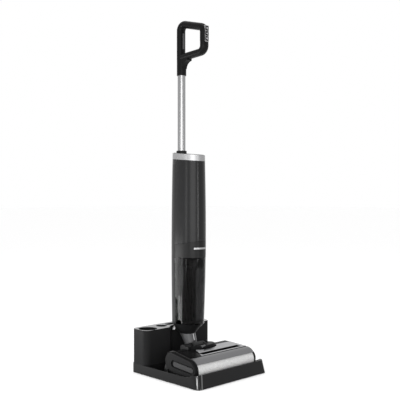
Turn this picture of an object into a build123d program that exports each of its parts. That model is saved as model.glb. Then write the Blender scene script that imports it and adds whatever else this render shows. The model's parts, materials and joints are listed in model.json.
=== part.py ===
from build123d import *
import math
import os

# Wet dry floor scrubber standing in its dock, millimetres, +Z up.
# Origin: centre of the dock's footprint, on the floor. The front faces -Y.
os.makedirs("parts", exist_ok=True)

# Dock
DOCK_W = 300.0
DOCK_FRONT_Y = -148.0
DOCK_REAR_Y = 157.0
DOCK_CORNER_R = 15.0
DOCK_FRONT_H = 39.6
DOCK_SIDE_H = 30.0
DOCK_FRONT_SLOPE = 12.0
DOCK_WALL = 5.0
DOCK_FLOOR_Z = 6.0
FOOT_H = 2.0
FOOT_R = 10.0
TOWER_H = 138.0
TOWER_Y0 = 84.0
TOWER_X1 = 130.0
TOWER_CORNER_R = 20.0
TOWER_WALL = 3.0
TOWER_TRIM_T = 1.5
RECESS_R = 60.5
BIG_SOCKET_R = 29.0
BIG_SOCKET_XY = (-116.0, 116.0)
SMALL_SOCKET_R = 17.5
SMALL_SOCKET_XY = (-52.5, 123.5)
SOCKET_FLOOR_Z = 46.0
POCKET_W = 58.0
POCKET_D = 24.0
POCKET_XY = (0.0, 129.0)

# Cleaning head
ROLLER_Y = -88.0
ROLLER_Z = 41.0
PILE_R = 32.5
CORE_R = 22.0
ROLLER_HALF = 122.0
HOUSING_HALF = 124.8
PLATE_X = 127.8
COVER_X = 138.0
HOUSING_Y0 = -52.0
HOUSING_Y1 = 14.0
HOUSING_Z0 = 12.0
HOUSING_Z1 = 74.0
NECK_GAP = 36.0
DOME_HALF_X = 54.0
DOME_HALF_Y = 30.0
DOME_Y = -8.0
DOME_TOP = 92.0
WHEEL_R = 21.0
WHEEL_Y = 5.0
WHEEL_Z = 27.4
WHEEL_X0 = 98.0
WHEEL_X1 = 116.0
AXLE_R = 3.0
RUN_GAP = 0.06
MOTOR_YZ = (-20.0, 45.0)
ROLLER_PULLEY_R = 14.0
MOTOR_PULLEY_R = 9.0
PULLEY_X0 = 128.6
PULLEY_X1 = 134.6
LIP_IN_R = 34.5
LIP_OUT_R = 37.0
COVER_HALF = 123.4

# Neck
PIVOT_Y = 14.0
PIVOT_Z = 82.0
BARREL_R = 13.0
BARREL_HALF = 20.0
DUCT_R = 10.0
ARM_Z0 = 70.0
ARM_Z1 = 84.0
SHIELD_LOW = (41.0, 84.3, 20.0)
SHIELD_TOP = (56.0, 118.4, 25.0)
SWIVEL_R = 12.5
SWIVEL_BORE_R = 10.0
SWIVEL_TOP = 130.0

# Body: height, half width (X), half depth (Y) and middle (Y) of its oval sections
BODY_Y = 51.0
BODY_SECTIONS = [
    (151.0, 45.0, 58.0, 55.0),
    (250.0, 46.4, 60.5, 53.5),
    (390.0, 48.0, 62.0, 52.0),
    (560.0, 47.0, 61.0, 51.5),
    (706.0, 44.8, 58.2, 51.5),
]
BASE_SECTIONS = [(119.0, 26.0, 26.0, 57.0), (133.0, 37.0, 38.0, 58.0), BODY_SECTIONS[0]]
SKIN = 2.5
SPLIT_Y = 66.0
TANK_Z0 = 151.6
TANK_Z1 = 361.8
TANK_WALL = 2.2
SPINE_TOP = 440.0
CLEAN_Z0 = 440.4
CLEAN_Z1 = 654.6
PANEL_HALF = 18.0
COLLAR_REAR_Z = 696.0
COLLAR_FRONT_Z = 684.0
COLLAR_H = 20.0

# Pole and handle
POLE_Y = 85.3
POLE_R = 12.7
POLE_Z0 = 658.0
POLE_Z1 = 1000.0
HANDLE_HALF_X = 15.5
HANDLE_HALF_T = 11.75
HANDLE_Y = 87.5
SLEEVE_R = 15.3
HANDLE_SKIN = 2.5
SLEEVE_Z0 = 945.0
GRIP_Y = -19.5
GRIP_FRONT_Y = -31.25
SOCKET_R = 16.7
BUTTON_ZS = {"power": 1078.0, "mode": 1062.0, "clean": 1046.0}
BUTTON_HALF_W = 6.3
BUTTON_HALF_H = 6.6


def box(x0, x1, y0, y1, z0, z1):
    centre = Pos((x0 + x1) / 2, (y0 + y1) / 2, (z0 + z1) / 2)
    return centre * Box(x1 - x0, y1 - y0, z1 - z0)


def cyl_x(y, z, x0, x1, r):
    return Pos((x0 + x1) / 2, y, z) * Rot(0, 90, 0) * Cylinder(r, x1 - x0)


def cyl_y(x, z, y0, y1, r):
    return Pos(x, (y0 + y1) / 2, z) * Rot(90, 0, 0) * Cylinder(r, y1 - y0)


def cyl_z(x, y, z0, z1, r):
    return Pos(x, y, (z0 + z1) / 2) * Cylinder(r, z1 - z0)


def prism_yz(points, x0, x1):
    """A Y-Z outline pulled from x0 to x1."""
    face = Plane.YZ.offset(x0) * Polygon(*points, align=None)
    return extrude(face, amount=x1 - x0, dir=(1, 0, 0))


def prism_xy(points, z0, z1):
    face = Plane.XY.offset(z0) * Polygon(*points, align=None)
    return extrude(face, amount=z1 - z0, dir=(0, 0, 1))


def prism_xz(points, y0, y1):
    outline = [(x, y0, z) for x, z in points]
    face = make_face(Polyline(*outline, close=True))
    return extrude(face, amount=y1 - y0, dir=(0, 1, 0))


def round_rims(shape, x, r, z_low=-100.0):
    """Round the edges that lie wholly in the plane at x, above z_low."""
    rims = []
    for edge in shape.edges():
        size = edge.bounding_box()
        if abs(size.min.X - x) < 0.01 and abs(size.max.X - x) < 0.01 and edge.center().Z > z_low:
            rims.append(edge)
    return fillet(rims, radius=r)


def oval_loft(sections, inset=0.0):
    ovals = [Pos(0, y, z) * Ellipse(a - inset, b - inset) for z, a, b, y in sections]
    return loft(ovals)


def belt_loop(y0, z0, r0, y1, z1, r1, x0, x1):
    """The outline round two pulleys, as a solid from x0 to x1."""
    gap = math.hypot(y1 - y0, z1 - z0)
    lean = math.asin((r0 - r1) / gap)
    along = math.atan2(z1 - z0, y1 - y0)
    points = []
    for side in (1, -1):
        turn = along + side * (math.pi / 2 - lean)
        ends = [(y0, z0, r0), (y1, z1, r1)]
        for y, z, r in ends[::side]:
            points.append((y + r * math.cos(turn), z + r * math.sin(turn)))
    band = prism_yz(points, x0, x1)
    return band + cyl_x(y0, z0, x0, x1, r0) + cyl_x(y1, z1, x0, x1, r1)


BODY = oval_loft(BODY_SECTIONS)
BODY_IN = oval_loft(BODY_SECTIONS, SKIN)
NODES = {}


def dock_outline(y_front_0, y_front_1, z0, z1, inset, corner):
    """A tray shape whose front wall leans back from z0 to z1."""
    half_w = DOCK_W / 2 - inset
    rear = DOCK_REAR_Y - inset
    faces = []
    for z, front in ((z0, y_front_0), (z1, y_front_1)):
        plan = RectangleRounded(2 * half_w, rear - front, corner)
        faces.append(Pos(0, (rear + front) / 2, z) * plan)
    return loft(faces)


def make_tray():
    front = DOCK_FRONT_Y
    slope = DOCK_FRONT_SLOPE
    outer = dock_outline(front, front + slope, FOOT_H, DOCK_FRONT_H, 0.0, DOCK_CORNER_R)
    rise = math.tan(math.atan(slope / (DOCK_FRONT_H - FOOT_H)))
    in_0 = front + DOCK_WALL + rise * (DOCK_FLOOR_Z - FOOT_H)
    in_1 = front + DOCK_WALL + rise * (DOCK_FRONT_H + 4 - FOOT_H)
    hollow = dock_outline(in_0, in_1, DOCK_FLOOR_Z, DOCK_FRONT_H + 4, DOCK_WALL, 11.0)
    hollow = hollow - box(-200, 200, TOWER_Y0 - 4, TOWER_Y0 + 4, 0, 100)
    top = DOCK_FRONT_H + 1
    edge = Line((170.0, DOCK_SIDE_H), (-84.0, DOCK_SIDE_H))
    edge += ThreePointArc((-84.0, DOCK_SIDE_H), (-106.0, 33.0), (-124.0, top))
    edge += Polyline((-124.0, top), (-124.0, 60.0), (170.0, 60.0), (170.0, DOCK_SIDE_H))
    above = extrude(Plane.YZ.offset(-160) * make_face(edge), amount=320, dir=(1, 0, 0))
    NODES["dock_tray"] = outer - hollow - above


def make_feet():
    feet = Part()
    for x in (-128.0, 128.0):
        for y in (-120.0, 135.0):
            feet += cyl_z(x, y, 0.0, FOOT_H, FOOT_R)
    NODES["dock_feet"] = feet


def socket_cuts(z0, z1, extra):
    big = cyl_z(*BIG_SOCKET_XY, z0, z1, BIG_SOCKET_R + extra)
    small = cyl_z(*SMALL_SOCKET_XY, z0, z1, SMALL_SOCKET_R + extra)
    slot = RectangleRounded(POCKET_W + 2 * extra, POCKET_D + 2 * extra, 8.0)
    pocket = extrude(Pos(*POCKET_XY, z0) * slot, amount=z1 - z0, dir=(0, 0, 1))
    return big + small + pocket


def tower_block(z0, z1, inset, corner):
    x0 = -DOCK_W / 2 + inset
    x1 = TOWER_X1 - inset
    y0 = TOWER_Y0 + inset
    y1 = DOCK_REAR_Y - inset
    plan = RectangleRounded(x1 - x0, y1 - y0, corner)
    return extrude(Pos((x0 + x1) / 2, (y0 + y1) / 2, z0) * plan, amount=z1 - z0, dir=(0, 0, 1))


def make_tower():
    block = tower_block(DOCK_SIDE_H, TOWER_H, 0.0, TOWER_CORNER_R)
    block = fillet(block.edges().group_by(Axis.Z)[-1], radius=1.0)
    hollow = tower_block(DOCK_SIDE_H - 1, TOWER_H - 5, TOWER_WALL, TOWER_CORNER_R - TOWER_WALL)
    hollow -= cyl_z(0, BODY_Y, 0, 200, RECESS_R + TOWER_WALL)
    hollow -= socket_cuts(SOCKET_FLOOR_Z - 3, TOWER_H, 2.5)
    trim = tower_block(TOWER_H - TOWER_TRIM_T, TOWER_H, 1.2, TOWER_CORNER_R - 1.2)
    recess = cyl_z(0, BODY_Y, 0, 200, RECESS_R)
    inlet_hole = box(52, 68, DOCK_REAR_Y - 18, DOCK_REAR_Y + 2, 42, 58)
    tower = block - hollow - recess - trim - inlet_hole
    tower -= socket_cuts(SOCKET_FLOOR_Z, TOWER_H + 1, 0.0)
    pads = box(-17.5, -6.5, 109, 113, 121.5, 134.5) + box(6.5, 17.5, 109, 113, 121.5, 134.5)
    NODES["dock_tower"] = tower - pads
    plate = trim - cyl_z(0, BODY_Y, 0, 200, RECESS_R + 1.2) - socket_cuts(0, 200, 0.4)
    NODES["dock_tower_trim"] = plate


def make_dock_electrics():
    pads = Part()
    for x in (-12.0, 12.0):
        pads += box(x - 5.5, x + 5.5, 109.6, 112.8, 121.5, 134.5)
    NODES["dock_contacts"] = pads
    shell = box(52, 68, DOCK_REAR_Y - 14, DOCK_REAR_Y, 42, 58)
    hole = cyl_y(60, 50, DOCK_REAR_Y - 10, DOCK_REAR_Y + 1, 4.0)
    pin = cyl_y(60, 50, DOCK_REAR_Y - 14, DOCK_REAR_Y - 2, 1.1)
    NODES["power_inlet"] = shell - hole + pin


def side_profile(inset, nose_r, bottom, rear_top, rear_r):
    """Side outline of the head: round at the roller, rising to a round rear end."""
    r = nose_r - inset
    y_c, z_c = ROLLER_Y, 43.0
    low = bottom + inset
    start = (y_c - math.sqrt(r * r - (z_c - low) ** 2), low)
    crown = (y_c, z_c + r)
    nose = ThreePointArc(start, (y_c - r, z_c), crown)
    back = rear_r - inset
    y_b, z_b = 12.0 - rear_r, rear_top - rear_r
    reach = (start[0] - y_b, low - z_b)
    turn = math.atan2(reach[1], reach[0]) + math.acos(back / math.hypot(*reach))
    foot = (y_b + back * math.cos(turn), z_b + back * math.sin(turn))
    rear = ThreePointArc((y_b, z_b + back), (y_b + back, z_b), foot)
    return make_face(nose + Line(crown, (y_b, z_b + back)) + rear + Line(foot, start))


def side_slab(x0, x1, inset=0.0):
    """A slice of the head's side; the left end stands higher than the belt end."""
    sizes = (36.0, 9.0, 91.0, 31.0) if x1 < 0 else (28.0, 18.0, 72.0, 24.0)
    profile = side_profile(inset, *sizes)
    return extrude(Plane.YZ.offset(x0) * profile, amount=x1 - x0, dir=(1, 0, 0))


def wheel_well(r, x0, x1, side):
    if side < 0:
        x0, x1 = -x1, -x0
    return cyl_x(WHEEL_Y, WHEEL_Z, x0, x1, r)


def make_chassis():
    wall = 3.0
    full = box(-HOUSING_HALF, HOUSING_HALF, HOUSING_Y0, HOUSING_Y1, HOUSING_Z0, HOUSING_Z1)
    gap = box(-NECK_GAP, NECK_GAP, 0.0, 60.0, 0.0, 120.0)
    inner = box(-HOUSING_HALF, HOUSING_HALF, HOUSING_Y0 + wall, HOUSING_Y1 - wall,
                HOUSING_Z0 + wall, HOUSING_Z1 - wall)
    inner -= box(-NECK_GAP - wall, NECK_GAP + wall, -wall, 60.0, 0.0, 120.0)
    shell = full - gap - inner
    shell += side_slab(-PLATE_X, -HOUSING_HALF) + side_slab(HOUSING_HALF, PLATE_X)
    for side in (-1, 1):
        shell += wheel_well(25.4, 93.0, 121.0, side)
    for side in (-1, 1):
        shell -= wheel_well(22.8, 95.5, 118.5, side)
        shell -= wheel_well(AXLE_R, 92.0, 122.0, side)
    shell -= box(-122, 122, -60, 60, -10, HOUSING_Z0)
    ear = [(-7.8, 66.0), (14.0, 69.0), (14.0, 95.0), (0.0, 91.0), (-7.8, 84.0)]
    for x0 in (-27.0, 21.0):
        shell += prism_yz(ear, x0, x0 + 6.0) + cyl_x(PIVOT_Y, PIVOT_Z, x0, x0 + 6.0, BARREL_R)
    shell -= cyl_x(PIVOT_Y, PIVOT_Z, -30, -15, DUCT_R)
    shell -= cyl_x(PIVOT_Y, PIVOT_Z, 15, 30, 6.0)
    shell -= box(-100, 100, HOUSING_Y0 - 1, HOUSING_Y0 + 4, 16.5, 24.0)
    shell -= box(-62.5, -35.9, -14.0, 15.0, 66.0, 80.0)
    shell -= cyl_x(ROLLER_Y, ROLLER_Z, HOUSING_HALF - 1, PLATE_X + 1, 16.0)
    shell -= cyl_x(ROLLER_Y, ROLLER_Z, -PLATE_X - 1, -HOUSING_HALF + 1, 5.0)
    shell -= cyl_x(*MOTOR_YZ, HOUSING_HALF - 1, PLATE_X + 1, 7.0)
    NODES["head_chassis"] = shell


def dome_block(z0, z1, extra):
    """The oval bulge in the middle of the head, grown by extra all round."""
    plan = Ellipse(DOME_HALF_X + extra, DOME_HALF_Y + extra)
    return extrude(Pos(0, DOME_Y, z0) * plan, amount=z1 - z0, dir=(0, 0, 1))


def make_hood():
    wings = box(-HOUSING_HALF + 0.2, HOUSING_HALF - 0.2, -14.0, HOUSING_Y1, HOUSING_Z1, 82.0)
    wings = fillet(wings.edges().filter_by(Axis.X).group_by(Axis.Z)[-1], radius=4.0)
    dome = dome_block(HOUSING_Z1, DOME_TOP, 0.0)
    dome = fillet(dome.edges().group_by(Axis.Z)[-1], radius=7.0)
    hood = wings + dome
    hood -= box(-37.0, 37.0, -8.0, 90.0, 60.0, 120.0)
    hood -= box(-63.0, -36.0, -10.6, 90.0, 60.0, 120.0)
    hood -= box(-24.4, -7.6, -34.9, -27.1, 83.0, 100.0)
    hood -= box(-200, 200, HOUSING_Y1, 90, 0, 200)
    hood -= box(-200, 200, -100, HOUSING_Y0, 0, 200)
    NODES["head_hood"] = hood
    NODES["cover_release_button"] = box(-24.0, -8.0, -34.5, -27.5, 85.0, 92.8)


def make_side_covers():
    slot_at = Pos(-67.0, 52.5) * Rot(0, 0, 5) * SlotOverall(98.0, 22.0)
    slot_cut = extrude(Plane.YZ.offset(-COVER_X - 1) * slot_at, amount=5.0, dir=(1, 0, 0))
    grip_at = Pos(-70.0, 52.2) * Rot(0, 0, 5) * SlotOverall(86.0, 14.0)
    for side, name in ((-1, "side_cover_left"), (1, "side_cover_right")):
        x0, x1 = sorted((side * PLATE_X, side * COVER_X))
        cover = side_slab(x0, x1, 2.5)
        cover = round_rims(cover, side * COVER_X, 3.0)
        inner_x = -COVER_X + 5.5 if side < 0 else COVER_X - 1.5
        h0, h1 = sorted((side * (PLATE_X - 1), inner_x))
        cover -= side_slab(h0, h1, 5.5)
        NODES[name] = cover - slot_cut if side < 0 else cover
    grip = extrude(Plane.YZ.offset(-COVER_X + 0.4) * grip_at, amount=3.6, dir=(1, 0, 0))
    NODES["roller_pull_grip"] = grip


def make_roller():
    tube = cyl_x(ROLLER_Y, ROLLER_Z, -ROLLER_HALF, ROLLER_HALF, CORE_R)
    NODES["roller_core"] = tube - cyl_x(ROLLER_Y, ROLLER_Z, -130, 130, CORE_R - 3)
    pile = cyl_x(ROLLER_Y, ROLLER_Z, -ROLLER_HALF, ROLLER_HALF, PILE_R)
    NODES["roller_pile"] = pile - cyl_x(ROLLER_Y, ROLLER_Z, -130, 130, CORE_R)
    cap = cyl_x(ROLLER_Y, ROLLER_Z, -ROLLER_HALF, -ROLLER_HALF + 12, CORE_R - 3)
    cap += cyl_x(ROLLER_Y, ROLLER_Z, -ROLLER_HALF - 1.8, -ROLLER_HALF, CORE_R)
    NODES["roller_end_cap"] = cap - cyl_x(ROLLER_Y, ROLLER_Z, -130, -100, 5.0 + RUN_GAP)
    drive = cyl_x(ROLLER_Y, ROLLER_Z, ROLLER_HALF - 12, ROLLER_HALF, CORE_R - 3)
    drive += cyl_x(ROLLER_Y, ROLLER_Z, ROLLER_HALF, ROLLER_HALF + 1.8, CORE_R)
    drive += cyl_x(ROLLER_Y, ROLLER_Z, ROLLER_HALF, PULLEY_X1, 10.0)
    drive += cyl_x(ROLLER_Y, ROLLER_Z, PULLEY_X0, PULLEY_X1, ROLLER_PULLEY_R)
    NODES["roller_drive_cap"] = drive - cyl_x(ROLLER_Y, ROLLER_Z, 100, 140, 4.0 + RUN_GAP)
    left = cyl_x(ROLLER_Y, ROLLER_Z, -132.5, -112.0, 5.0)
    right = cyl_x(ROLLER_Y, ROLLER_Z, 112.0, 136.5, 4.0)
    return left + right


def make_drive():
    y, z = MOTOR_YZ
    motor = cyl_x(y, z, 50.0, 91.0, 17.0)
    motor += cyl_x(y, z, 91.0, PULLEY_X0 + 4, 2.5)
    NODES["roller_motor"] = motor
    pulley = cyl_x(y, z, PULLEY_X0, PULLEY_X1, MOTOR_PULLEY_R)
    NODES["motor_pulley"] = pulley - cyl_x(y, z, 128, 133, 2.5 + RUN_GAP)
    r0 = ROLLER_PULLEY_R
    r1 = MOTOR_PULLEY_R
    x0, x1 = PULLEY_X0 + 0.5, PULLEY_X1 - 0.5
    outer = belt_loop(ROLLER_Y, ROLLER_Z, r0 + 1.9, y, z, r1 + 1.9, x0, x1)
    inner = belt_loop(ROLLER_Y, ROLLER_Z, r0 + 0.4, y, z, r1 + 0.4, x0 - 1, x1 + 1)
    NODES["drive_belt"] = outer - inner


def make_wheels():
    axles = Part()
    for side, name in ((-1, "rear_wheel_left"), (1, "rear_wheel_right")):
        wheel = wheel_well(WHEEL_R, WHEEL_X0, WHEEL_X1, side)
        wheel = fillet(wheel.edges(), radius=2.5)
        NODES[name] = wheel - wheel_well(AXLE_R + RUN_GAP, 90, 124, side)
        axles += wheel_well(AXLE_R, 93.2, 120.8, side)
    return axles


def make_head_seals():
    NODES["scraper_blade"] = box(-120, 120, -60.6, HOUSING_Y0, 60.5, 63.0)
    NODES["rear_squeegee"] = box(-118, 118, -45.5, -42.5, 7.2, HOUSING_Z0)


def make_duct():
    """Suction path: slot behind the roller, riser, and the pipe into the neck."""
    manifold = box(-100, 100, -48.8, -36.0, 15.2, 27.0)
    manifold -= box(-98, 98, -50.0, -38.0, 16.5, 25.0)
    riser = box(-60, -42.0, -38.0, 8.0, 15.2, 40.0) - box(-58, -44, -37.0, 6.0, 17.0, 38.0)
    upright = box(-60, -42.0, -10.0, 8.0, 36.0, 89.0) - box(-58, -44, -8.0, 6.0, 30.0, 87.0)
    elbow = cyl_x(PIVOT_Y, PIVOT_Z, -60.0, -37.5, 12.5)
    elbow -= cyl_x(PIVOT_Y, PIVOT_Z, -58.0, -37.0, 7.6)
    spigot = cyl_x(PIVOT_Y, PIVOT_Z, -37.5, -12.0, DUCT_R - 0.08)
    spigot -= cyl_x(PIVOT_Y, PIVOT_Z, -40.0, -11.0, 7.6)
    duct = manifold + riser + upright + elbow + spigot
    duct -= box(-58, -44, -36.0, 6.0, 20.0, 36.0) + box(-58, -44, -8.0, 8.0, 77.0, 87.0)
    duct -= box(-58, -44, -42.0, -35.0, 18.0, 25.0)
    NODES["suction_duct"] = duct


def make_roller_cover():
    shell_outline = [
        (-89.0, 75.7), (-89.0, 76.8), (-86.0, 76.8), (-86.0, 78.6), (-15.0, 82.0),
        (-15.0, 74.6), (-17.5, 74.6), (-17.5, 79.0), (-86.0, 75.7),
    ]
    notch = dome_block(0, 200, 1.5)
    shell = prism_yz(shell_outline, -COVER_HALF, COVER_HALF)
    NODES["roller_cover_shell"] = shell - notch
    ring = cyl_x(ROLLER_Y, ROLLER_Z, -COVER_HALF, COVER_HALF, LIP_OUT_R)
    ring -= cyl_x(ROLLER_Y, ROLLER_Z, -130, 130, LIP_IN_R)
    ring = ring & box(-130, 130, -200, ROLLER_Y - 1.0, 64.0, 100)
    NODES["roller_cover_lip"] = ring
    slope = (82.0 - 78.6) / 71.0
    band = [(-85.5, 78.6 + 0.5 * slope), (-85.5, 80.0), (-15.5, 80.0 + 70 * slope),
            (-15.5, 82.0 - 0.5 * slope)]
    plan = [(-80.0, -90.0), (120.0, -90.0), (120.0, -10.0), (-38.0, -10.0),
            (-43.0, -25.0), (-55.0, -50.0)]
    plate = prism_yz(band, -COVER_HALF, COVER_HALF) & prism_xy(plan, 60, 100)
    window = box(-65.0, 105.0, -80.5, -60.0, 60.0, 100.0)
    NODES["roller_cover_trim"] = plate - window - dome_block(0, 200, 3.0)
    inlay = [(-80.5, 78.6 + 5.5 * slope), (-80.5, 79.2 + 5.5 * slope),
             (-60.0, 79.2 + 26 * slope), (-60.0, 78.6 + 26 * slope)]
    NODES["roller_cover_window"] = prism_yz(inlay, -65.0, 105.0)


def neck_taper(inset):
    """The leaning cone between the body and the pivot."""
    rings = []
    for y, z, r in (SHIELD_LOW, SHIELD_TOP):
        rings.append(Pos(0, y, z) * Circle(r - inset))
    return loft(rings)


def make_neck():
    yoke = cyl_x(PIVOT_Y, PIVOT_Z, -BARREL_HALF, BARREL_HALF, BARREL_R)
    yoke += box(-13, 13, PIVOT_Y, BODY_Y, ARM_Z0, ARM_Z1)
    yoke += cyl_z(0, BODY_Y, ARM_Z0, SWIVEL_TOP, SWIVEL_R)
    yoke -= cyl_x(PIVOT_Y, PIVOT_Z, -BARREL_HALF - 1, 8.0, DUCT_R)
    yoke -= cyl_x(PIVOT_Y, PIVOT_Z, 12.0, BARREL_HALF + 1, 6.0 + RUN_GAP)
    yoke -= box(-8.0, 8.0, PIVOT_Y, BODY_Y, ARM_Z0 + 3, ARM_Z1 - 3)
    yoke -= cyl_z(0, BODY_Y, ARM_Z0 + 3, SWIVEL_TOP + 1, SWIVEL_BORE_R)
    NODES["neck_yoke"] = yoke
    NODES["pivot_pin"] = cyl_x(PIVOT_Y, PIVOT_Z, 12.5, 27.0, 6.0)
    core = cyl_z(0, BODY_Y, ARM_Z0, SWIVEL_TOP, SWIVEL_R)
    shield = neck_taper(0.0) - (neck_taper(2.5) & box(-40, 40, 0, 100, 80, 115.0)) - core
    shield -= cyl_x(PIVOT_Y, PIVOT_Z, -BARREL_HALF, BARREL_HALF, BARREL_R)
    shield -= box(-7.0, 30.0, 0.0, 30.0, 94.4, 96.4)
    strip = box(-1.4, 1.4, 0.0, 38.0, 98.5, 130.0)
    NODES["neck_shield"] = shield - strip
    NODES["neck_trim"] = shield & strip


def make_base():
    low, mid, top = BASE_SECTIONS
    base = loft([Pos(0, y, z) * Ellipse(a, b) for z, a, b, y in (low, mid)])
    base += loft([Pos(0, y, z) * Ellipse(a, b) for z, a, b, y in (mid, top)])
    base -= cyl_z(0, BODY_Y, 100, 160, SWIVEL_R + RUN_GAP)
    NODES["base_collar"] = base


def slanted(rear_z, front_z, below):
    """Everything below or above a plane that drops towards the front."""
    rear_y, front_y = 109.0, -7.0
    slope = (rear_z - front_z) / (rear_y - front_y)
    z_at = [(y, front_z + slope * (y - front_y)) for y in (-200.0, 300.0)]
    far = -500.0 if below else 2000.0
    return prism_yz([z_at[0], z_at[1], (300.0, far), (-200.0, far)], -200, 200)


def make_dirty_tank():
    block = BODY & box(-80, 80, -40, SPLIT_Y - 0.6, TANK_Z0, TANK_Z1)
    inner = oval_loft(BODY_SECTIONS, TANK_WALL)
    hollow = inner & box(-80, 80, -40, SPLIT_Y - 0.6 - TANK_WALL, TANK_Z0 + 2.4, 400)
    NODES["dirty_tank"] = block - hollow - cyl_z(0, BODY_Y, 140, 160, 9.5)
    lid = BODY & box(-80, 80, -40, SPLIT_Y - 0.6, TANK_Z1, 420.0)
    lid &= slanted(395.0, 412.5, True)
    hollow = BODY_IN & box(-80, 80, -40, SPLIT_Y - 4.0, TANK_Z1 - 1, 384.0)
    hollow += cyl_z(0, 25, 380, 430, 18.0)
    NODES["tank_lid"] = lid - hollow - box(-26.5, 26.5, -40, 5.2, 388.0, 394.5)
    latch = BODY & box(-26.0, 26.0, -40, 2.2, 388.5, 394.0)
    NODES["tank_latch"] = Pos(0, -0.8, 0) * latch
    pipe = cyl_z(0, BODY_Y - 2, TANK_Z0 + 2.4, 330.0, 11.0)
    NODES["tank_inlet_pipe"] = pipe - cyl_z(0, BODY_Y - 2, 150, 331, 9.0)
    hood = cyl_y(0, 343.0, -1.0, 14.0, 18.0) - cyl_y(0, 343.0, 1.5, 15.0, 15.5)
    NODES["inlet_deflector"] = hood


def make_upper_body():
    front = BODY & box(-80, 80, -40, SPLIT_Y, 395.0, CLEAN_Z1 + 0.4)
    front -= slanted(395.6, 413.1, True)
    hollow = BODY_IN & box(-80, 80, -40, SPLIT_Y - SKIN, 380.0, CLEAN_Z1 + 10)
    hollow -= box(-80, 80, -40, 90, 418.0, 421.0)
    top = BODY & box(-80, 80, -40, 120, CLEAN_Z1 + 0.4, 720)
    top_hollow = BODY_IN & box(-80, 80, -40, 120, CLEAN_Z1 + 0.4 + SKIN, 720)
    top_hollow += BODY_IN & box(-80, 80, -40, SPLIT_Y - SKIN, CLEAN_Z1, 720)
    shell = (front - hollow) + (top - top_hollow)
    shell -= cyl_z(0, 25, 410, 425, 16.0)
    shell &= slanted(COLLAR_REAR_Z - COLLAR_H, COLLAR_FRONT_Z - COLLAR_H + 1.5, True)
    panel_zone = box(-PANEL_HALF, PANEL_HALF, -40, 20, 421.0, 660.0)
    ring = BODY - BODY_IN
    NODES["front_panel"] = ring & box(-PANEL_HALF + 0.2, PANEL_HALF - 0.2, -40, 20, 421.2, 659.8)
    NODES["upper_shell"] = shell - panel_zone
    collar = (BODY - oval_loft(BODY_SECTIONS, 4.0)) & slanted(COLLAR_REAR_Z, COLLAR_FRONT_Z, True)
    collar -= slanted(COLLAR_REAR_Z - COLLAR_H, COLLAR_FRONT_Z - COLLAR_H + 1.5, True)
    NODES["silver_collar"] = collar
    cap = oval_loft(BODY_SECTIONS, 4.0) & slanted(COLLAR_REAR_Z + 1.2, COLLAR_FRONT_Z + 1.2, True)
    cap -= slanted(COLLAR_REAR_Z - 3, COLLAR_FRONT_Z - 3, True)
    NODES["top_cap"] = cap - cyl_z(0, POLE_Y, 600, 800, SOCKET_R)


def make_spine():
    block = BODY & box(-80, 80, SPLIT_Y, 120, 151.0, SPINE_TOP)
    hollow = BODY_IN & box(-80, 80, SPLIT_Y + SKIN, 120, 151.0 + SKIN, SPINE_TOP - SKIN)
    NODES["spine_shell"] = block - hollow - cyl_z(0, 84, SPINE_TOP - 5, SPINE_TOP + 1, 7.0)
    NODES["battery_pack"] = box(-25, 25, 71.0, 93.0, 205.0, 405.0)
    pump = cyl_z(-14, 84, 155.0, 190.0, 12.0) + cyl_z(-14, 84, 190.0, 198.0, 4.0)
    NODES["water_pump"] = pump
    tank = BODY & box(-80, 80, SPLIT_Y + 0.4, 120, CLEAN_Z0, CLEAN_Z1)
    inner = oval_loft(BODY_SECTIONS, TANK_WALL)
    y_in = SPLIT_Y + 0.4 + TANK_WALL
    hollow = inner & box(-80, 80, y_in, 120, CLEAN_Z0 + TANK_WALL, CLEAN_Z1 - 6)
    NODES["clean_tank"] = tank - hollow - cyl_z(0, 86, CLEAN_Z1 - 8, CLEAN_Z1 + 1, 9.0)
    NODES["clean_tank_cap"] = cyl_z(0, 86, CLEAN_Z1 - 8, CLEAN_Z1 - 0.2, 9.0)


def make_suction_motor():
    y = 27.0
    NODES["suction_motor"] = cyl_z(0, y, 440.0, 505.0, 29.0) + cyl_z(0, y, 426.0, 440.0, 3.0)
    fan = cyl_z(0, y, 427.0, 429.0, 25.0) + cyl_z(0, y, 427.0, 437.0, 7.0)
    for step in range(8):
        blade = box(6.0, 24.5, -0.8, 0.8, 429.0, 436.0)
        fan += Pos(0, y, 0) * Rot(0, 0, step * 45.0) * blade
    NODES["fan_impeller"] = fan - cyl_z(0, y, 420, 440, 3.0 + RUN_GAP)
    NODES["control_board"] = box(-26, 26, 10.0, 11.6, 560.0, 645.0)


def make_pole():
    tube = cyl_z(0, POLE_Y, POLE_Z0, POLE_Z1, POLE_R)
    NODES["pole"] = tube - cyl_z(0, POLE_Y, POLE_Z0 - 1, POLE_Z1 + 1, POLE_R - 1.6)
    sleeve = cyl_z(0, POLE_Y, CLEAN_Z1 + 0.4 + SKIN, 702.0, SOCKET_R)
    sleeve = sleeve & BODY_IN
    NODES["pole_socket"] = sleeve - cyl_z(0, POLE_Y, 600, 800, POLE_R)


def bar_along(points, bend, inset):
    """An oval bar along Y-Z points with rounded bends."""
    path = FilletPolyline(*[(0, y, z) for y, z in points], radius=bend)
    start = Plane(origin=path @ 0, x_dir=(1, 0, 0), z_dir=path % 0)
    return sweep(start * Ellipse(HANDLE_HALF_X - inset, HANDLE_HALF_T - inset), path=path)


def handle_loop(inset):
    upper = [(HANDLE_Y, 996.0), (HANDLE_Y, 1113.0), (GRIP_Y, 1083.5), (GRIP_Y, 1040.0)]
    lower = [(GRIP_Y, 1046.0), (GRIP_Y, 1009.0), (HANDLE_Y - 6.0, 1003.0)]
    return bar_along(upper, 18.0, inset) + bar_along(lower, 19.0, inset + 0.4)


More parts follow.
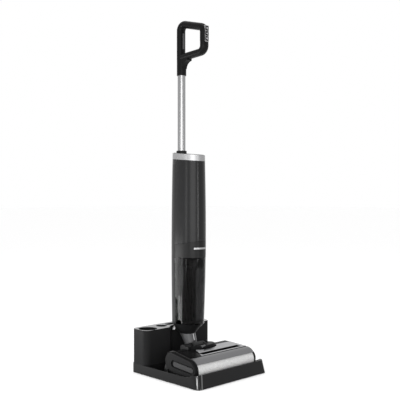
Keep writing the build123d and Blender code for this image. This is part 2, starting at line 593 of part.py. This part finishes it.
def make_handle():
    rear_y = GRIP_FRONT_Y + 7.0
    loop = handle_loop(0.0)
    loop -= handle_loop(HANDLE_SKIN) & box(-50, 50, -80, 120, POLE_Z1 + 8, 1200)
    sleeve = cyl_z(0, POLE_Y, SLEEVE_Z0, POLE_Z1 + 6, SLEEVE_R)
    corner = box(-10, 10, 48.0, POLE_Y, 966.0, 1000.0) - cyl_x(46.0, 964.0, -20, 20, 25.5)
    loop += fillet(sleeve.edges().group_by(Axis.Z)[-1], radius=2.0) + corner
    loop -= cyl_z(0, POLE_Y, 900, POLE_Z1, POLE_R)
    loop -= box(-7.6, 7.6, -50, GRIP_FRONT_Y + 5.0, 1036.0, 1087.0)
    loop -= box(-7.0, 7.0, -50, rear_y + 1.5, 1038.5, 1085.5)
    inlay_y = HANDLE_Y - HANDLE_HALF_T
    loop -= box(-3.5, 3.5, 60, inlay_y + 1.5, 1030.0, 1080.0)
    NODES["handle_shell_left"] = loop & box(-50, 0, -80, 120, 900, 1200)
    NODES["handle_shell_right"] = loop & box(0, 50, -80, 120, 900, 1200)
    bezel = box(-7.6, 7.6, GRIP_FRONT_Y - 0.6, GRIP_FRONT_Y + 5.0, 1036.0, 1087.0)
    gap = 0.3
    for name, z in BUTTON_ZS.items():
        bezel -= box(-BUTTON_HALF_W - gap, BUTTON_HALF_W + gap, -60, 0,
                     z - BUTTON_HALF_H - gap, z + BUTTON_HALF_H + gap)
        NODES["button_" + name] = box(-BUTTON_HALF_W, BUTTON_HALF_W, GRIP_FRONT_Y - 1.2, rear_y,
                                      z - BUTTON_HALF_H, z + BUTTON_HALF_H)
    NODES["button_bezel"] = bezel
    NODES["grip_inlay"] = box(-3.5, 3.5, inlay_y - 0.3, inlay_y + 1.5, 1030.0, 1080.0)


def export_nodes():
    for name, shape in NODES.items():
        export_step(shape, f"parts/{name}.step")


make_tray()
make_feet()
make_tower()
make_dock_electrics()
make_chassis()
make_hood()
make_side_covers()
NODES["head_axles"] = make_roller() + make_wheels()
make_drive()
make_head_seals()
make_duct()
make_roller_cover()
make_neck()
make_base()
make_dirty_tank()
make_upper_body()
make_spine()
make_suction_motor()
make_pole()
make_handle()
export_nodes()
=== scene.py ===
import json
import math
import random

import bpy
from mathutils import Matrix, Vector


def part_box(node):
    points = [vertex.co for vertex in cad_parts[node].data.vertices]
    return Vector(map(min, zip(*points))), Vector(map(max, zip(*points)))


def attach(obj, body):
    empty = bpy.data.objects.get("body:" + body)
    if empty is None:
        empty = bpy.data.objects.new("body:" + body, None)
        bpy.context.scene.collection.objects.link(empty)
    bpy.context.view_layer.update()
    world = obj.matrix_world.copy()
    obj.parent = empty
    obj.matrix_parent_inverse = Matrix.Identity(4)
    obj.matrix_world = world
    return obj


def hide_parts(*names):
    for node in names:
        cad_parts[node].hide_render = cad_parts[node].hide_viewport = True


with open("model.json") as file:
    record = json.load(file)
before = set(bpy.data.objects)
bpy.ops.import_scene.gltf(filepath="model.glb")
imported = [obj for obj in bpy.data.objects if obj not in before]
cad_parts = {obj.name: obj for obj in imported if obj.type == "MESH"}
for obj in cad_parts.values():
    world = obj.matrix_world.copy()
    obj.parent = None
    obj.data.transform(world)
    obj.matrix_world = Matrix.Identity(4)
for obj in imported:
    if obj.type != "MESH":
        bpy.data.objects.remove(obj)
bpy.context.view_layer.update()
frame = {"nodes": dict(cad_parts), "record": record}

MM = 0.001
NOISE_DETAIL = 4.0

# ---------------------------------------------------------------- materials


def principled(name):
    """A new material, with its node tree and its main shader."""
    mat = bpy.data.materials.new(name)
    mat.use_nodes = True
    return mat, mat.node_tree, mat.node_tree.nodes["Principled BSDF"]


def noise(tree, scale, stretch=None):
    """A noise texture in the object's own coordinates."""
    coords = tree.nodes.new("ShaderNodeTexCoord")
    tex = tree.nodes.new("ShaderNodeTexNoise")
    tex.inputs["Scale"].default_value = scale
    tex.inputs["Detail"].default_value = NOISE_DETAIL
    if stretch:
        mapping = tree.nodes.new("ShaderNodeMapping")
        mapping.inputs["Scale"].default_value = stretch
        tree.links.new(coords.outputs["Object"], mapping.inputs["Vector"])
        tree.links.new(mapping.outputs["Vector"], tex.inputs["Vector"])
    else:
        tree.links.new(coords.outputs["Object"], tex.inputs["Vector"])
    return tex


def add_bump(tree, shader, scale, height):
    """Fine relief, with its height in metres."""
    tex = noise(tree, scale)
    bump = tree.nodes.new("ShaderNodeBump")
    bump.inputs["Strength"].default_value = 0.5
    bump.inputs["Distance"].default_value = height
    tree.links.new(tex.outputs["Fac"], bump.inputs["Height"])
    tree.links.new(bump.outputs["Normal"], shader.inputs["Normal"])


def vary_rough(tree, shader, scale, low, high, stretch=None):
    """Roughness that wanders between low and high."""
    tex = noise(tree, scale, stretch)
    ramp = tree.nodes.new("ShaderNodeMapRange")
    ramp.inputs["From Min"].default_value = 0.3
    ramp.inputs["From Max"].default_value = 0.7
    ramp.inputs["To Min"].default_value = low
    ramp.inputs["To Max"].default_value = high
    tree.links.new(tex.outputs["Fac"], ramp.inputs["Value"])
    tree.links.new(ramp.outputs["Result"], shader.inputs["Roughness"])


def vary_colour(tree, shader, scale, dark, light):
    """Base colour that wanders between two greys."""
    tex = noise(tree, scale)
    ramp = tree.nodes.new("ShaderNodeValToRGB")
    ramp.color_ramp.elements[0].position = 0.35
    ramp.color_ramp.elements[0].color = (*dark, 1.0)
    ramp.color_ramp.elements[1].position = 0.65
    ramp.color_ramp.elements[1].color = (*light, 1.0)
    tree.links.new(tex.outputs["Fac"], ramp.inputs["Fac"])
    tree.links.new(ramp.outputs["Color"], shader.inputs["Base Color"])


def plastic(name, grey, rough, spread=0.04, grain=0.0, coat=0.0, specular=0.5):
    """Moulded plastic or rubber; grain is the relief in metres."""
    mat, tree, shader = principled(name)
    shader.inputs["Base Color"].default_value = (grey, grey, grey * 1.03, 1.0)
    shader.inputs["Specular IOR Level"].default_value = specular
    vary_rough(tree, shader, 60.0, rough - spread / 2, rough + spread / 2)
    if grain:
        add_bump(tree, shader, 2500.0, grain)
    if coat:
        shader.inputs["Coat Weight"].default_value = coat
        shader.inputs["Coat Roughness"].default_value = 0.04
    return mat


def metal(name, grey, rough, stretch=(1, 1, 1), spread=0.05):
    """A metal or metallic paint. Stretch runs the brushing along an axis; no spread is plain."""
    mat, tree, shader = principled(name)
    shader.inputs["Base Color"].default_value = (grey, grey, grey * 1.01, 1.0)
    shader.inputs["Metallic"].default_value = 1.0
    if spread:
        vary_rough(tree, shader, 400.0, rough * (1 - spread), rough * (1 + spread), stretch)
    else:
        shader.inputs["Roughness"].default_value = rough
    return mat


# Where the two painted highlight lines on the tray's corner rise and fall, and how they are
# turned
GLINT_LINE_STOPS = (0.53, 0.59, 0.66, 0.76)
GLINT_LINE_TURN = math.radians(44.2)


def painted_glint_corner(name, grey, rough, corner, reach):
    """A gloss plastic with two painted highlight lines down its rounded corner: a masked coat
    that stands in for the reflections of strip lamps.
    """
    mat, tree, shader = principled(name)
    shader.inputs["Base Color"].default_value = (grey, grey, grey * 1.03, 1.0)
    shader.inputs["Specular IOR Level"].default_value = 0.12
    shader.inputs["Coat Roughness"].default_value = 0.03
    shader.inputs["Coat IOR"].default_value = 2.2
    vary_rough(tree, shader, 60.0, rough * 0.8, rough * 1.2)
    coords = tree.nodes.new("ShaderNodeTexCoord")
    turn = tree.nodes.new("ShaderNodeMapping")
    turn.inputs["Rotation"].default_value = (0.0, 0.0, GLINT_LINE_TURN)
    tree.links.new(coords.outputs["Object"], turn.inputs["Vector"])
    place = tree.nodes.new("ShaderNodeMapping")
    place.inputs["Location"].default_value = (-corner[0] / reach[0], -corner[1] / reach[1], 0.0)
    place.inputs["Scale"].default_value = (1 / reach[0], 1 / reach[1], 0.0)
    tree.links.new(turn.outputs["Vector"], place.inputs["Vector"])
    glint_mask = tree.nodes.new("ShaderNodeTexGradient")
    glint_mask.gradient_type = "SPHERICAL"
    tree.links.new(place.outputs["Vector"], glint_mask.inputs["Vector"])
    ramp = tree.nodes.new("ShaderNodeValToRGB")
    points = ramp.color_ramp.elements
    start, rise, fall, end = GLINT_LINE_STOPS
    points[0].position, points[0].color = start, (0, 0, 0, 1)
    points[1].position, points[1].color = end, (0, 0, 0, 1)
    for stop in (rise, fall):
        points.new(stop).color = (1, 1, 1, 1)
    tree.links.new(glint_mask.outputs["Fac"], ramp.inputs["Fac"])
    tree.links.new(ramp.outputs["Color"], shader.inputs["Coat Weight"])
    return mat


def clear_smoke(name, tint, rough, ior):
    """Dark see-through plastic."""
    mat, tree, shader = principled(name)
    shader.inputs["Base Color"].default_value = (tint, tint, tint * 1.02, 1.0)
    shader.inputs["Transmission Weight"].default_value = 1.0
    shader.inputs["IOR"].default_value = ior
    vary_rough(tree, shader, 30.0, rough * 0.6, rough * 1.4)
    return mat


def fabric(name):
    """Short microfibre pile."""
    mat, tree, shader = principled(name)
    vary_colour(tree, shader, 500.0, (0.40, 0.40, 0.40), (0.62, 0.62, 0.615))
    shader.inputs["Roughness"].default_value = 0.95
    shader.inputs["Sheen Weight"].default_value = 0.4
    shader.inputs["Sheen Roughness"].default_value = 0.5
    add_bump(tree, shader, 1600.0, 0.0008)
    return mat


MATERIALS = {
    "dark_gloss_plastic": plastic("dark gloss plastic", 0.010, 0.10, spread=0.03, specular=0.15),
    "black_gloss_plastic": plastic("black gloss plastic", 0.004, 0.10, specular=0.15),
    "black_plastic": plastic("black plastic", 0.008, 0.42, grain=0.00002, specular=0.15),
    "graphite_plastic": plastic("graphite plastic", 0.006, 0.33, grain=0.00001, specular=0.15),
    "front_gloss": plastic("front panel gloss", 0.007, 0.18, specular=0.20),
    "grip_plastic": plastic("grip plastic", 0.005, 0.34, grain=0.00003, specular=0.07),
    "grey_plastic": plastic("grey plastic", 0.06, 0.36, grain=0.00002, specular=0.30),
    "silver_plastic": metal("silver paint", 0.33, 0.40),
    "chrome_trim": metal("chrome trim", 0.55, 0.15),
    "aluminium_tube": metal("aluminium tube", 0.30, 0.26, spread=0.0),
    "steel": metal("steel", 0.50, 0.25, (0.02, 1, 1)),
    "motor_metal": metal("motor can", 0.45, 0.35, (1, 1, 0.05)),
    "contact_metal": metal("contact metal", 0.70, 0.20),
    "black_rubber": plastic("black rubber", 0.008, 0.70, grain=0.00004, specular=0.2),
    "wheel_rubber": plastic("wheel rubber", 0.014, 0.62, grain=0.00004, specular=0.2),
    "microfibre": fabric("microfibre pile"),
    "circuit_board": plastic("circuit board", 0.03, 0.5),
    "smoky_clear": clear_smoke("smoky clear plastic", 0.14, 0.03, 1.16),
}
# Parts whose finish differs a little from the rest of their slot
SPECIAL = {
    "dock_tower": plastic("tower plastic", 0.011, 0.32, spread=0.03, specular=0.02),
    # The tray's rounded corner carries two painted highlight lines: a masked coat standing in for
    # lamp reflections
    "dock_tray": painted_glint_corner("tray plastic", 0.008, 0.06, (-0.0008, -0.2027), (0.020, 0.080)),
    "roller_cover_lip": plastic("lip plastic", 0.11, 0.22, specular=0.25),
    "roller_cover_trim": plastic("cover silver paint", 0.26, 0.30, specular=0.4),
    "cover_release_button": plastic("release button", 0.08, 0.3, specular=0.3),
    "roller_pull_grip": plastic("pull grip plastic", 0.022, 0.40, grain=0.00002, specular=0.10),
    "side_cover_left": plastic("side cover plastic", 0.007, 0.40, grain=0.00002, specular=0.04),
    "side_cover_right": plastic("side cover plastic", 0.007, 0.40, grain=0.00002, specular=0.04),
    "roller_cover_window": plastic("window plastic", 0.002, 0.40, specular=0.0),
    "roller_cover_shell": plastic("cover plastic", 0.006, 0.20, specular=0.02),
    "inlet_deflector": plastic("deflector plastic", 0.02, 0.12, specular=0.8, coat=1.0),
    "head_hood": plastic("hood plastic", 0.006, 0.25, specular=0.02),
    "neck_yoke": plastic("yoke plastic", 0.020, 0.35, specular=0.10),
    "upper_shell": plastic("body gloss plastic", 0.013, 0.23, spread=0.03, specular=0.13),
}
ICON = plastic("icon print", 0.75, 0.5)

# ---------------------------------------------------------------- mesh helpers


def mesh_piece(name, verts, faces, body, slot, smooth_deg=35.0):
    """A mesh from points in millimetres, riding on a body."""
    mesh = bpy.data.meshes.new(name)
    mesh.from_pydata([Vector(v) * MM for v in verts], [], faces)
    mesh.update()
    mesh.shade_smooth()
    mesh.set_sharp_from_angle(angle=math.radians(smooth_deg))
    obj = bpy.data.objects.new(name, mesh)
    bpy.context.scene.collection.objects.link(obj)
    mesh.materials.append(MATERIALS[slot])
    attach(obj, body)
    return obj


def soften(obj, width_mm, segments=2):
    bevel = obj.modifiers.new("edge", "BEVEL")
    bevel.width = width_mm * MM
    bevel.segments = segments
    bevel.limit_method = "ANGLE"
    bevel.angle_limit = math.radians(40)
    return obj


def bar(name, ends, width, height, body, slot):
    """A straight bar between two points on its base line, lying along them, rising in Z."""
    (x0, y0, z0), (x1, y1, z1) = ends
    along = Vector((x1 - x0, y1 - y0, 0.0)).normalized()
    side = Vector((-along.y, along.x, 0.0)) * width / 2
    verts = []
    for x, y, z in ends:
        for s in (-1, 1):
            for h in (0.0, height):
                verts.append((x + s * side.x, y + s * side.y, z + h))
    faces = [(0, 1, 3, 2), (4, 6, 7, 5), (0, 4, 5, 1), (2, 3, 7, 6), (1, 5, 7, 3), (0, 2, 6, 4)]
    return soften(mesh_piece(name, verts, faces, body, slot), 0.35)


def ring_xz(name, x, y, z, radius, width, depth, start, stop, body, slot):
    """A flat ring or arc in the X-Z plane, facing -Y, from start to stop degrees."""
    steps = 40
    verts, faces = [], []
    for i in range(steps + 1):
        a = math.radians(start + (stop - start) * i / steps)
        for r in (radius - width / 2, radius + width / 2):
            for d in (0.0, -depth):
                verts.append((x + r * math.sin(a), y + d, z + r * math.cos(a)))
    for i in range(steps):
        k, n = 4 * i, 4 * i + 4
        faces += [(k, n, n + 1, k + 1), (k + 2, k + 3, n + 3, n + 2),
                  (k + 1, n + 1, n + 3, k + 3), (k, k + 2, n + 2, n)]
    last = 4 * steps
    faces += [(0, 1, 3, 2), (last, last + 2, last + 3, last + 1)]
    return mesh_piece(name, verts, faces, body, slot)


def block(name, low, high, body, slot, round_mm=0.3):
    (x0, y0, z0), (x1, y1, z1) = low, high
    verts = [(x, y, z) for x in (x0, x1) for y in (y0, y1) for z in (z0, z1)]
    faces = [(0, 1, 3, 2), (4, 6, 7, 5), (0, 4, 5, 1), (2, 3, 7, 6), (1, 5, 7, 3), (0, 2, 6, 4)]
    return soften(mesh_piece(name, verts, faces, body, slot), round_mm)


def in_mm(node):
    low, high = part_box(node)
    return low / MM, high / MM


# ---------------------------------------------------------------- CAD nodes

EDGE_MM = {
    "dock_tray": 1.2, "dock_tower": 0.6, "side_cover_left": 0.5, "side_cover_right": 0.5,
    "head_hood": 0.5, "roller_cover_shell": 0.5, "roller_cover_trim": 0.3,
    "neck_yoke": 0.8, "button_power": 0.5, "button_mode": 0.5, "button_clean": 0.5,
    "button_bezel": 0.4, "cover_release_button": 0.6, "pole_socket": 0.8,
}
for node, obj in frame["nodes"].items():
    slot = next(s["material_slot"] for s in frame["record"]["subparts"] if s["node"] == node)
    obj.data.materials.clear()
    obj.data.materials.append(SPECIAL.get(node, MATERIALS[slot]))
    obj.data.shade_smooth()
    weld = obj.modifiers.new("weld", "WELD")
    weld.merge_threshold = 0.00001
    if node in EDGE_MM:
        soften(obj, EDGE_MM[node])
        obj.modifiers.new("shading", "WEIGHTED_NORMAL")
    else:
        split = obj.modifiers.new("shading", "EDGE_SPLIT")
        split.split_angle = math.radians(32)

# ---------------------------------------------------------------- roller pile


PILE_JITTER = (-0.55, 0.45)
PILE_CORE_R = 22.0
PILE_INSET = 0.7
END_TUCK = 1.6
END_TUCK_ROWS = 3.0
SEAM_TWIST = 0.035
SEAM_DEPTH = 0.5
SEAM_SPREAD = 0.0015


def pile_radius(full, x, angle, end, rng):
    """The pile's outer radius: tucked in at the ends, parted at the spiral seam, and tufted."""
    tuck = END_TUCK * math.exp(-end / END_TUCK_ROWS)
    seam = math.cos((angle - x * SEAM_TWIST) / 2.0) ** 2
    dip = SEAM_DEPTH * math.exp(-((1.0 - seam) / SEAM_SPREAD))
    wave = 0.18 * math.sin(5 * angle + x * 0.09) + 0.12 * math.sin(11 * angle - x * 0.21)
    return full - PILE_INSET + rng.uniform(*PILE_JITTER) - tuck - dip + wave


def roller_pile():
    """Dense short pile: a fine grid of tufts round the roller, closed by an inner tube."""
    low, high = in_mm("roller_pile")
    y_c, z_c = (low.y + high.y) / 2, (low.z + high.z) / 2
    full = (high.y - low.y) / 2
    around, along = ((320, 620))
    turns = [2 * math.pi * j / around for j in range(around)]
    rng = random.Random(7)
    verts, faces = [], []
    for i in range(along + 1):
        x = low.x + (high.x - low.x) * i / along
        for a in turns:
            r = pile_radius(full, x, a, min(i, along - i), rng)
            verts.append((x, y_c + r * math.cos(a), z_c + r * math.sin(a)))
    base = len(verts)
    for x in (low.x, high.x):
        for a in turns:
            verts.append((x, y_c + PILE_CORE_R * math.cos(a), z_c + PILE_CORE_R * math.sin(a)))
    for i in range(along):
        for j in range(around):
            k, n = i * around + j, i * around + (j + 1) % around
            faces.append((k, n, n + around, k + around))
    top = along * around
    for j in range(around):
        n = (j + 1) % around
        faces.append((j, base + j, base + n, n))
        faces.append((top + j, top + n, base + around + n, base + around + j))
        faces.append((base + j, base + around + j, base + around + n, base + n))
    pile = mesh_piece("roller_microfibre", verts, faces, "roller", "microfibre", 180.0)
    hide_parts("roller_pile")


roller_pile()

# ---------------------------------------------------------------- roller cover details


RIB_COUNT = 5
RIB_PITCH = 3.4
RIB_GAP = 9.0
RIB_WIDTH = 1.3
RIB_HEIGHT = 0.8
COVER_TOP = (-85.5, 80.0)
COVER_SLOPE = 3.4 / 71.0


def cover_details():
    """A row of short raised ribs on the silver frame, behind the dark window."""
    rear = in_mm("roller_cover_window")[1].y
    for k in range(RIB_COUNT):
        y = rear + RIB_GAP + RIB_PITCH * k
        z = COVER_TOP[1] + COVER_SLOPE * (y - COVER_TOP[0]) - 0.3
        ends = [(-34.0 + 4 * k, y, z), (8.0 - 2 * k, y, z)]
        bar(f"cover_rib_{k}", ends, RIB_WIDTH, RIB_HEIGHT, "roller_cover", "black_plastic")


cover_details()

# ---------------------------------------------------------------- tank details


# Width of the chrome ring that paints a highlight round the deflector's front edge
HIGHLIGHT_RING_WIDTH = 1.6


def deflector_highlight_ring():
    """A thin bright chrome ring round the front of the inlet deflector: a painted highlight that
    stands in for the deflector's bright edge.
    """
    low, high = in_mm("inlet_deflector")
    x, z = (low.x + high.x) / 2, (low.z + high.z) / 2
    radius = (high.x - low.x) / 2 - 0.75 * HIGHLIGHT_RING_WIDTH
    ring_xz("deflector_highlight_ring", x, low.y + 0.1, z, radius, HIGHLIGHT_RING_WIDTH, HIGHLIGHT_RING_WIDTH / 2, 0, 360,
            "dirty_water_tank", "chrome_trim")


deflector_highlight_ring()

# ---------------------------------------------------------------- handle keys


PRINT_DEPTH = 0.12
STROKE = 0.8


def key_bar(name, centre, half_x, z_low, z_high, body):
    x, y, z = centre
    low = (x - half_x, y - PRINT_DEPTH, z + z_low)
    return block(name, low, (x + half_x, y, z + z_high), body, "grey_plastic", 0.05)


def key_ring(name, centre, radius, width, start, stop, body):
    x, y, z = centre
    return ring_xz(name, x, y, z, radius, width, PRINT_DEPTH, start, stop, body, "grey_plastic")


def power_mark(centre, body):
    return [key_ring("power_icon", centre, 2.3, STROKE, 35, 325, body),
            key_bar("power_icon_bar", centre, STROKE / 2, 0.6, 3.2, body)]


def plus_mark(centre, body):
    return [key_bar("mode_icon_bar", centre, 2.6, -STROKE / 2, STROKE / 2, body),
            key_bar("mode_icon_post", centre, STROKE / 2, -2.6, 2.6, body)]


def drop_mark(centre, body):
    return [key_ring("clean_icon", centre, 2.0, 0.9, 0, 360, body)]


def key_icons():
    """Small generic symbols: a power ring, a plus and a round drop."""
    for key, draw in (("power", power_mark), ("mode", plus_mark), ("clean", drop_mark)):
        low, high = in_mm("button_" + key)
        centre = ((low.x + high.x) / 2, low.y + 0.02, (low.z + high.z) / 2)
        for mark in draw(centre, key + "_key"):
            mark.data.materials[0] = ICON


key_icons()

# ---------------------------------------------------------------- stage and lights


def stage_floor():
    """A wide pale floor under the dock."""
    mesh = bpy.data.meshes.new("floor")
    far = 40.0
    corners = [(-far, -far, 0), (far, -far, 0), (far, far, 0), (-far, far, 0)]
    mesh.from_pydata(corners, [], [(0, 1, 2, 3)])
    floor = bpy.data.objects.new("floor", mesh)
    bpy.context.scene.collection.objects.link(floor)
    mat, tree, shader = principled("pale floor")
    shader.inputs["Base Color"].default_value = (0.99, 0.99, 0.99, 1.0)
    shader.inputs["Roughness"].default_value = 0.9
    mesh.materials.append(mat)


# name, place, aim, size, power in watts
SOFT_LIGHTS = [
    ("top", (0.2, -0.3, 2.8), (0, 0, 0.5), (1.6, 1.6), 8.0),
    ("left_low", (-0.985, 0.82, 0.16), (0, 0.05, 0.20), (1.2, 0.28), 8.0),
    ("left_near", (-0.542, 0.353, 0.085), (0, 0.05, 0.14), (0.29, 0.11), 1.6),
    ("camera_side", (-1.95, -2.05, 0.80), (0, 0, 0.45), (2.0, 1.5), 38.0),
    ("strip_left", (-2.30, -0.10, 0.45), (0, 0, 0.25), (0.25, 1.0), 5.0),
    ("strip_front", (-0.10, -2.60, 0.45), (0, 0, 0.20), (0.30, 1.0), 7.0),
]


def soft_light(name, place, aim, size, power):
    data = bpy.data.lights.new(name, "AREA")
    data.shape = "RECTANGLE"
    data.size, data.size_y = size
    data.energy = power
    lamp = bpy.data.objects.new(name, data)
    lamp.location = place
    lamp.rotation_euler = (Vector(aim) - Vector(place)).to_track_quat("-Z", "Y").to_euler()
    bpy.context.scene.collection.objects.link(lamp)
    lamp.visible_camera = False


def lighting():
    """A white room with soft lamps that the camera can't see."""
    world = bpy.data.worlds.new("studio")
    world.use_nodes = True
    back = world.node_tree.nodes["Background"]
    back.inputs["Color"].default_value = (1.0, 1.0, 1.0, 1.0)
    back.inputs["Strength"].default_value = 1.0
    bpy.context.scene.world = world
    for light in SOFT_LIGHTS:
        soft_light(*light)


def camera():
    """Low and to the front left, level with the middle of the body."""
    data = bpy.data.cameras.new("camera")
    data.lens = 60.3
    data.sensor_width = 36.0
    cam = bpy.data.objects.new("camera", data)
    cam.location = (-1.470, -1.512, 0.543)
    cam.rotation_euler = (math.radians(90.0), 0.0, math.radians(-44.2))
    data.clip_start, data.clip_end = 0.05, 100.0
    bpy.context.scene.collection.objects.link(cam)
    bpy.context.scene.camera = cam


stage_floor()
lighting()
camera()
bpy.context.scene.view_settings.view_transform = "Standard"
